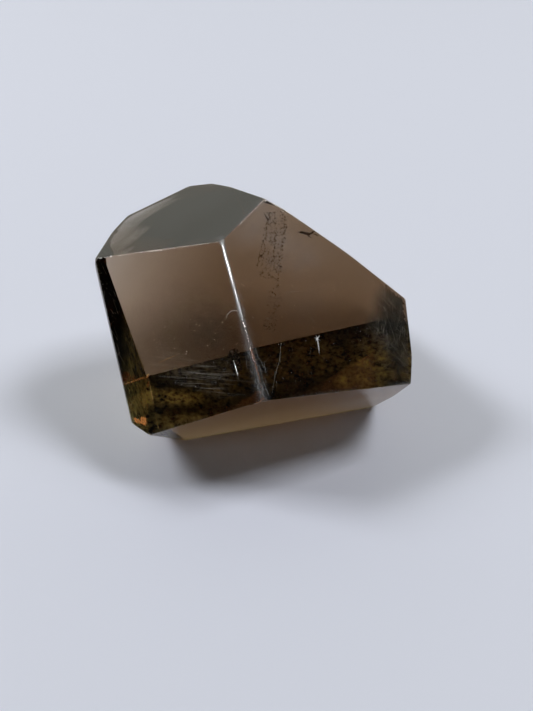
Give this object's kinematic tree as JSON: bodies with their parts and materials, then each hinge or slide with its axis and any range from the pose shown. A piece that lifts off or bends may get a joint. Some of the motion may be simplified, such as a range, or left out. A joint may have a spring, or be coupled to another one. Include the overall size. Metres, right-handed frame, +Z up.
{
  "type": "smoky quartz crystal",
  "caption": "Stubby smoky quartz point lying on a flat cut foot, with polished prism faces, a slanted end face, a rounded back rim and an overhanging cut base.",
  "frame": {"origin": "the middle of the bounding box, on the surface that the crystal rests on", "axes": "+Z up, +X along its longest side towards the blunt right end, -Y towards the overhanging cut base"},
  "size_m": [0.0484, 0.0398, 0.0351],
  "materials": {
    "smoky_quartz": "polished, clear smoky brown with fine scratches and small inclusions"
  },
  "bodies": {
    "root": {"smoky_quartz_crystal": "smoky_quartz"}
  },
  "joints": []
}
